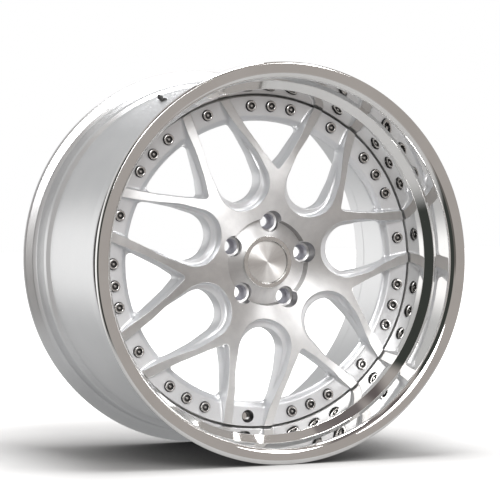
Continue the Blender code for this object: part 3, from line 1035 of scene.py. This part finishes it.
def floor_material():
    """A pale floor, darkened under the wheel by painted contact shade and glowing white away from the wheel.

    Reflections see it dull with a faint painted glow, and only near the wheel, so that polished metal mirrors
    the studio beyond it.
    """
    material, tree, shader = new_material("pale_floor")
    shader.inputs["Specular IOR Level"].default_value = 0.1
    cloud = noise(tree, object_vector(tree), 3.0, 3.0, 0.5)
    # Painted contact shade: ambient occlusion darkens the floor's colour under and beside the wheel.
    painted_contact_shade = add_node(tree, "ShaderNodeAmbientOcclusion", samples=16)
    painted_contact_shade.inputs["Distance"].default_value = 0.22
    tree.links.new(tint(tree, cloud, (0.71, 0.71, 0.71), (0.73, 0.73, 0.73)), painted_contact_shade.inputs["Color"])
    tree.links.new(painted_contact_shade.outputs["Color"], shader.inputs["Base Color"])
    tree.links.new(spread(tree, cloud, 0.75, 0.85), shader.inputs["Roughness"])
    length = add_node(tree, "ShaderNodeVectorMath", operation="LENGTH")
    tree.links.new(object_vector(tree), length.inputs[0])
    distance = length.outputs["Value"]
    # The floor glows more away from the wheel, so the camera sees it white there: a painted glow.
    seen = joined(tree, "ShaderNodeAddShader", shader.outputs[0],
                  glowing(tree, smooth_step(tree, distance, 0.36, 0.9)))
    # Reflections see a dull floor with a faint painted glow near the wheel, and nothing beyond.
    dull = add_node(tree, "ShaderNodeBsdfDiffuse")
    dull.inputs["Color"].default_value = (0.20, 0.20, 0.20, 1.0)
    grey = joined(tree, "ShaderNodeAddShader", dull.outputs[0], glowing(tree, 0.30))
    clear = add_node(tree, "ShaderNodeBsdfTransparent")
    edge = smooth_step(tree, distance, 0.45, 0.75)
    mirrored = joined(tree, "ShaderNodeMixShader", edge, grey, clear.outputs[0])
    path = add_node(tree, "ShaderNodeLightPath")
    surface = joined(tree, "ShaderNodeMixShader", path.outputs["Is Camera Ray"], mirrored, seen)
    tree.links.new(surface, tree.nodes["Material Output"].inputs["Surface"])
    return material


floor_mesh = bpy.data.meshes.new("floor")
floor_corners = [(x * FLOOR_HALF, y * FLOOR_HALF, 0.0) for x, y in ((-1, -1), (1, -1), (1, 1), (-1, 1))]
floor_mesh.from_pydata(floor_corners, [], [(0, 1, 2, 3)])
floor = bpy.data.objects.new("floor", floor_mesh)
bpy.context.scene.collection.objects.link(floor)
floor.location.z = -RIM_RADIUS * MM - FLOOR_DROP
floor_mesh.materials.append(floor_material())


# ---------------------------------------------------------------- lights

# Name, direction from the wheel, distance, width and height in metres, and radiance.
SOFTBOXES = [
    ("over_camera", (-0.16, -0.87, 0.47), 3.6, 1.9, 1.6, 7.5),
    ("upper_right", (0.45, -0.42, 0.79), 3.2, 1.3, 0.9, 9.0),
    ("overhead", (0.03, -0.10, 1.0), 3.0, 1.1, 1.1, 18.0),
]


def softbox(name, direction, distance, width, height, radiance):
    """An area light that faces the wheel, with its brightness given as radiance."""
    data = bpy.data.lights.new(name, "AREA")
    data.shape = "RECTANGLE"
    data.size = width
    data.size_y = height
    data.energy = radiance * math.pi * width * height
    light = bpy.data.objects.new(name, data)
    bpy.context.scene.collection.objects.link(light)
    light.location = Vector(direction).normalized() * distance
    light.rotation_euler = (-light.location).to_track_quat("-Z", "Y").to_euler()


for box in SOFTBOXES:
    softbox(*box)


# ---------------------------------------------------------------- studio

# Soft-edged panels laid over each other: colour, degrees round from the street side towards +X, degrees up,
# and the soft edge's half width in degrees.
WALL_TONE = (0.42, 0.39, 0.37)
BACK_PANEL = ((0.56, 0.56, 0.56), (112.0, 200.0), (-100.0, 100.0), 8.0)
PANELS = [
    ((0.50, 0.48, 0.47), (-110.0, -62.0), (-32.0, 45.0), 6.0),
    ((1.2, 1.19, 1.18), (-200.0, -92.0), (-13.0, 13.0), 6.0),
    ((0.78, 0.78, 0.79), (130.0, 200.0), (21.0, 50.0), 6.0),
    ((0.045, 0.05, 0.045), (-64.0, -38.0), (-36.0, 44.0), 3.0),
    ((0.14, 0.13, 0.12), (-40.0, -20.0), (-30.0, 1.0), 3.0),
    ((0.14, 0.12, 0.12), (-42.0, -14.0), (47.0, 60.0), 3.0),
    ((0.18, 0.16, 0.16), (-30.0, 22.0), (60.0, 73.0), 4.0),
    ((0.20, 0.19, 0.19), (104.0, 130.0), (5.0, 30.0), 4.0),
    ((1.05, 1.05, 1.07), (98.0, 124.0), (-40.0, -22.0), 4.0),
    ((0.08, 0.08, 0.08), (120.0, 146.0), (-58.0, -24.0), 4.0),
    ((0.75, 0.74, 0.72), (-110.0, 50.0), (-100.0, -60.0), 5.0),
]
BACKDROP = (1.0, 1.0, 1.0)


def colour_mix(tree, share, below, above):
    """Blend two colours; each is a tuple or a socket."""
    mix = add_node(tree, "ShaderNodeMix", data_type="RGBA")
    tree.links.new(share, mix.inputs[0])
    for socket, colour in ((mix.inputs[6], below), (mix.inputs[7], above)):
        if isinstance(colour, tuple):
            socket.default_value = (*colour, 1.0)
        else:
            tree.links.new(colour, socket)
    return mix.outputs[2]


def lay_panel(tree, below, across, elevation, panel):
    tone, sides, heights, soft = panel
    mask = math_node(tree, "MULTIPLY", smooth_step(tree, across, sides[0] - soft, sides[0] + soft),
                     smooth_step(tree, across, sides[1] + soft, sides[1] - soft))
    low_edge = smooth_step(tree, elevation, heights[0] - soft, heights[0] + soft)
    high_edge = smooth_step(tree, elevation, heights[1] + soft, heights[1] - soft)
    mask = math_node(tree, "MULTIPLY", math_node(tree, "MULTIPLY", mask, low_edge), high_edge)
    return colour_mix(tree, mask, below, tone)


def studio_world():
    """The room that reflections see, behind a plain backdrop for the camera."""
    world = bpy.data.worlds.new("studio")
    world.use_nodes = True
    tree = world.node_tree
    split = add_node(tree, "ShaderNodeSeparateXYZ")
    tree.links.new(add_node(tree, "ShaderNodeTexCoord").outputs["Generated"], split.inputs[0])
    east, north, rise = split.outputs
    south = math_node(tree, "MULTIPLY", north, -1.0)
    azimuth = math_node(tree, "DEGREES", math_node(tree, "ARCTAN2", east, south))
    elevation = math_node(tree, "DEGREES", math_node(tree, "ARCSINE", rise))
    studio = lay_panel(tree, WALL_TONE, math_node(tree, "ABSOLUTE", azimuth), elevation, BACK_PANEL)
    for panel in PANELS:
        studio = lay_panel(tree, studio, azimuth, elevation, panel)
    path = add_node(tree, "ShaderNodeLightPath")
    colour = colour_mix(tree, path.outputs["Is Camera Ray"], studio, BACKDROP)
    tree.links.new(colour, tree.nodes["Background"].inputs["Color"])
    tree.nodes["Background"].inputs["Strength"].default_value = 1.0
    return world


bpy.context.scene.world = studio_world()


# ---------------------------------------------------------------- camera

CAMERA_PLACE = (-1.3032, -3.0726, 0.1109)
CAMERA_AIM = (0.39359, 0.91883, -0.02898)

camera_data = bpy.data.cameras.new("camera")
camera_data.lens = 169.6
camera_data.sensor_width = 36.0
camera = bpy.data.objects.new("camera", camera_data)
bpy.context.scene.collection.objects.link(camera)
camera.location = CAMERA_PLACE
camera.rotation_euler = Vector(CAMERA_AIM).to_track_quat("-Z", "Y").to_euler()
bpy.context.scene.camera = camera
bpy.context.scene.view_settings.view_transform = "Standard"
